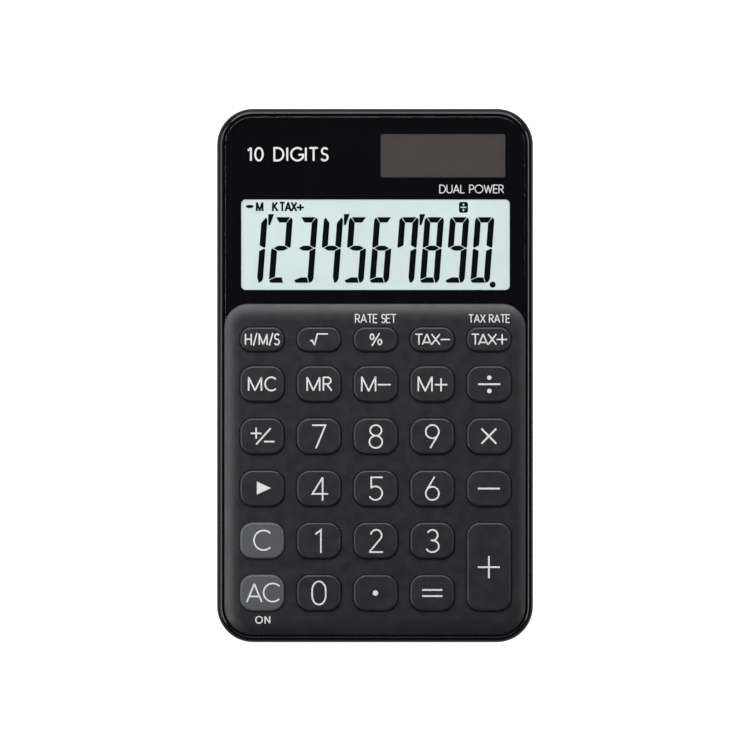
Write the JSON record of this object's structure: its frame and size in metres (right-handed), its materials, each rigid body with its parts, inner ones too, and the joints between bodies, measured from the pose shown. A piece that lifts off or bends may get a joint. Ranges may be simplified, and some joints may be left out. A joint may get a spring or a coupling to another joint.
{
  "type": "pocket calculator",
  "caption": "Slim pocket calculator with a glossy display window, solar cell, raised satin keypad and sprung sliding keys.",
  "frame": {"origin": "middle of the back, on the surface that the calculator lies on", "axes": "+X to the right as it is read, +Y towards the display end, +Z out through the keys"},
  "size_m": [0.07, 0.1182, 0.008],
  "materials": {
    "gloss_black_shell": "polished injection-moulded black ABS",
    "satin_charcoal_panel": "satin charcoal paint on ABS, fine spark texture",
    "textured_black_shell": "moulded texture, black ABS",
    "clear_window": "clear acrylic sheet",
    "black_print": "black ink on clear film",
    "display_face": "pale grey-green polarizer face",
    "display_glass": "thin float glass",
    "display_reflector": "silvery reflector film",
    "white_plastic": "white moulded ABS",
    "ribbon_film": "amber polyimide film with carbon tracks",
    "solar_glass": "brown-grey amorphous silicon behind glass",
    "adhesive_foam": "thin black adhesive foam",
    "silicone": "translucent grey silicone rubber",
    "carbon_rubber": "conductive carbon rubber",
    "board_laminate": "green solder mask on glass-epoxy laminate",
    "black_epoxy": "poured black epoxy",
    "capacitor_body": "tan ceramic body with tinned ends",
    "resistor_body": "black chip body with tinned ends",
    "solder": "dull tin solder",
    "battery_can": "nickel-plated steel",
    "spring_steel": "tinned spring steel",
    "red_wire": "red PVC insulation",
    "black_wire": "black PVC insulation",
    "zinc_screw": "zinc-plated steel",
    "black_screw": "black-oxide steel",
    "dark_key": "satin black ABS key cap",
    "grey_key": "satin blue-grey ABS key cap"
  },
  "bodies": {
    "case": {"battery": "battery_can", "battery_negative_contact": "spring_steel", "battery_negative_lead": "black_wire", "battery_positive_contact": "spring_steel", "battery_positive_lead": "red_wire", "board_screws": "zinc_screw", "capacitors": "capacitor_body", "case_screws": "black_screw", "circuit_board": "board_laminate", "contact_pills": "carbon_rubber", "display_window": "clear_window", "front_frame": "gloss_black_shell", "key_mat": "silicone", "keypad_panel": "satin_charcoal_panel", "lcd_front_glass": "display_glass", "lcd_front_polarizer": "display_face", "lcd_holder": "white_plastic", "lcd_rear_glass": "display_glass", "lcd_rear_polarizer": "display_reflector", "lcd_ribbon": "ribbon_film", "panel_tape": "adhesive_foam", "processor_cap": "black_epoxy", "rear_case": "textured_black_shell", "resistors": "resistor_body", "solar_cell": "solar_glass", "solar_negative_lead": "black_wire", "solar_positive_lead": "red_wire", "solder_joints": "solder", "window_mask": "black_print", "window_tape": "adhesive_foam"},
    "key_0": {"key_0": "dark_key"},
    "key_1": {"key_1": "dark_key"},
    "key_2": {"key_2": "dark_key"},
    "key_3": {"key_3": "dark_key"},
    "key_4": {"key_4": "dark_key"},
    "key_5": {"key_5": "dark_key"},
    "key_6": {"key_6": "dark_key"},
    "key_7": {"key_7": "dark_key"},
    "key_8": {"key_8": "dark_key"},
    "key_9": {"key_9": "dark_key"},
    "key_all_clear": {"key_all_clear": "grey_key"},
    "key_backspace": {"key_backspace": "dark_key"},
    "key_change_sign": {"key_change_sign": "dark_key"},
    "key_clear": {"key_clear": "grey_key"},
    "key_decimal_point": {"key_decimal_point": "dark_key"},
    "key_divide": {"key_divide": "dark_key"},
    "key_equals": {"key_equals": "dark_key"},
    "key_hours_minutes_seconds": {"key_hours_minutes_seconds": "dark_key"},
    "key_memory_clear": {"key_memory_clear": "dark_key"},
    "key_memory_minus": {"key_memory_minus": "dark_key"},
    "key_memory_plus": {"key_memory_plus": "dark_key"},
    "key_memory_recall": {"key_memory_recall": "dark_key"},
    "key_minus": {"key_minus": "dark_key"},
    "key_multiply": {"key_multiply": "dark_key"},
    "key_percent": {"key_percent": "dark_key"},
    "key_plus": {"key_plus": "dark_key"},
    "key_square_root": {"key_square_root": "dark_key"},
    "key_tax_minus": {"key_tax_minus": "dark_key"},
    "key_tax_plus": {"key_tax_plus": "dark_key"}
  },
  "joints": [
    {"name": "key_0_press", "type": "slide", "parent": "case", "child": "key_0", "axis": [0, 0, 1], "range_m": [-0.0008, 0], "stiffness_N_per_m": 250, "springref_m": 0.001, "deforming": ["key_mat"]},
    {"name": "key_1_press", "type": "slide", "parent": "case", "child": "key_1", "axis": [0, 0, 1], "range_m": [-0.0008, 0], "stiffness_N_per_m": 250, "springref_m": 0.001, "deforming": ["key_mat"]},
    {"name": "key_2_press", "type": "slide", "parent": "case", "child": "key_2", "axis": [0, 0, 1], "range_m": [-0.0008, 0], "stiffness_N_per_m": 250, "springref_m": 0.001, "deforming": ["key_mat"]},
    {"name": "key_3_press", "type": "slide", "parent": "case", "child": "key_3", "axis": [0, 0, 1], "range_m": [-0.0008, 0], "stiffness_N_per_m": 250, "springref_m": 0.001, "deforming": ["key_mat"]},
    {"name": "key_4_press", "type": "slide", "parent": "case", "child": "key_4", "axis": [0, 0, 1], "range_m": [-0.0008, 0], "stiffness_N_per_m": 250, "springref_m": 0.001, "deforming": ["key_mat"]},
    {"name": "key_5_press", "type": "slide", "parent": "case", "child": "key_5", "axis": [0, 0, 1], "range_m": [-0.0008, 0], "stiffness_N_per_m": 250, "springref_m": 0.001, "deforming": ["key_mat"]},
    {"name": "key_6_press", "type": "slide", "parent": "case", "child": "key_6", "axis": [0, 0, 1], "range_m": [-0.0008, 0], "stiffness_N_per_m": 250, "springref_m": 0.001, "deforming": ["key_mat"]},
    {"name": "key_7_press", "type": "slide", "parent": "case", "child": "key_7", "axis": [0, 0, 1], "range_m": [-0.0008, 0], "stiffness_N_per_m": 250, "springref_m": 0.001, "deforming": ["key_mat"]},
    {"name": "key_8_press", "type": "slide", "parent": "case", "child": "key_8", "axis": [0, 0, 1], "range_m": [-0.0008, 0], "stiffness_N_per_m": 250, "springref_m": 0.001, "deforming": ["key_mat"]},
    {"name": "key_9_press", "type": "slide", "parent": "case", "child": "key_9", "axis": [0, 0, 1], "range_m": [-0.0008, 0], "stiffness_N_per_m": 250, "springref_m": 0.001, "deforming": ["key_mat"]},
    {"name": "key_all_clear_press", "type": "slide", "parent": "case", "child": "key_all_clear", "axis": [0, 0, 1], "range_m": [-0.0008, 0], "stiffness_N_per_m": 250, "springref_m": 0.001, "deforming": ["key_mat"]},
    {"name": "key_backspace_press", "type": "slide", "parent": "case", "child": "key_backspace", "axis": [0, 0, 1], "range_m": [-0.0008, 0], "stiffness_N_per_m": 250, "springref_m": 0.001, "deforming": ["key_mat"]},
    {"name": "key_change_sign_press", "type": "slide", "parent": "case", "child": "key_change_sign", "axis": [0, 0, 1], "range_m": [-0.0008, 0], "stiffness_N_per_m": 250, "springref_m": 0.001, "deforming": ["key_mat"]},
    {"name": "key_clear_press", "type": "slide", "parent": "case", "child": "key_clear", "axis": [0, 0, 1], "range_m": [-0.0008, 0], "stiffness_N_per_m": 250, "springref_m": 0.001, "deforming": ["key_mat"]},
    {"name": "key_decimal_point_press", "type": "slide", "parent": "case", "child": "key_decimal_point", "axis": [0, 0, 1], "range_m": [-0.0008, 0], "stiffness_N_per_m": 250, "springref_m": 0.001, "deforming": ["key_mat"]},
    {"name": "key_divide_press", "type": "slide", "parent": "case", "child": "key_divide", "axis": [0, 0, 1], "range_m": [-0.0008, 0], "stiffness_N_per_m": 250, "springref_m": 0.001, "deforming": ["key_mat"]},
    {"name": "key_equals_press", "type": "slide", "parent": "case", "child": "key_equals", "axis": [0, 0, 1], "range_m": [-0.0008, 0], "stiffness_N_per_m": 250, "springref_m": 0.001, "deforming": ["key_mat"]},
    {"name": "key_hours_minutes_seconds_press", "type": "slide", "parent": "case", "child": "key_hours_minutes_seconds", "axis": [0, 0, 1], "range_m": [-0.0008, 0], "stiffness_N_per_m": 250, "springref_m": 0.001, "deforming": ["key_mat"]},
    {"name": "key_memory_clear_press", "type": "slide", "parent": "case", "child": "key_memory_clear", "axis": [0, 0, 1], "range_m": [-0.0008, 0], "stiffness_N_per_m": 250, "springref_m": 0.001, "deforming": ["key_mat"]},
    {"name": "key_memory_minus_press", "type": "slide", "parent": "case", "child": "key_memory_minus", "axis": [0, 0, 1], "range_m": [-0.0008, 0], "stiffness_N_per_m": 250, "springref_m": 0.001, "deforming": ["key_mat"]},
    {"name": "key_memory_plus_press", "type": "slide", "parent": "case", "child": "key_memory_plus", "axis": [0, 0, 1], "range_m": [-0.0008, 0], "stiffness_N_per_m": 250, "springref_m": 0.001, "deforming": ["key_mat"]},
    {"name": "key_memory_recall_press", "type": "slide", "parent": "case", "child": "key_memory_recall", "axis": [0, 0, 1], "range_m": [-0.0008, 0], "stiffness_N_per_m": 250, "springref_m": 0.001, "deforming": ["key_mat"]},
    {"name": "key_minus_press", "type": "slide", "parent": "case", "child": "key_minus", "axis": [0, 0, 1], "range_m": [-0.0008, 0], "stiffness_N_per_m": 250, "springref_m": 0.001, "deforming": ["key_mat"]},
    {"name": "key_multiply_press", "type": "slide", "parent": "case", "child": "key_multiply", "axis": [0, 0, 1], "range_m": [-0.0008, 0], "stiffness_N_per_m": 250, "springref_m": 0.001, "deforming": ["key_mat"]},
    {"name": "key_percent_press", "type": "slide", "parent": "case", "child": "key_percent", "axis": [0, 0, 1], "range_m": [-0.0008, 0], "stiffness_N_per_m": 250, "springref_m": 0.001, "deforming": ["key_mat"]},
    {"name": "key_plus_press", "type": "slide", "parent": "case", "child": "key_plus", "axis": [0, 0, 1], "range_m": [-0.0008, 0], "stiffness_N_per_m": 250, "springref_m": 0.001, "deforming": ["key_mat"]},
    {"name": "key_square_root_press", "type": "slide", "parent": "case", "child": "key_square_root", "axis": [0, 0, 1], "range_m": [-0.0008, 0], "stiffness_N_per_m": 250, "springref_m": 0.001, "deforming": ["key_mat"]},
    {"name": "key_tax_minus_press", "type": "slide", "parent": "case", "child": "key_tax_minus", "axis": [0, 0, 1], "range_m": [-0.0008, 0], "stiffness_N_per_m": 250, "springref_m": 0.001, "deforming": ["key_mat"]},
    {"name": "key_tax_plus_press", "type": "slide", "parent": "case", "child": "key_tax_plus", "axis": [0, 0, 1], "range_m": [-0.0008, 0], "stiffness_N_per_m": 250, "springref_m": 0.001, "deforming": ["key_mat"]}
  ]
}
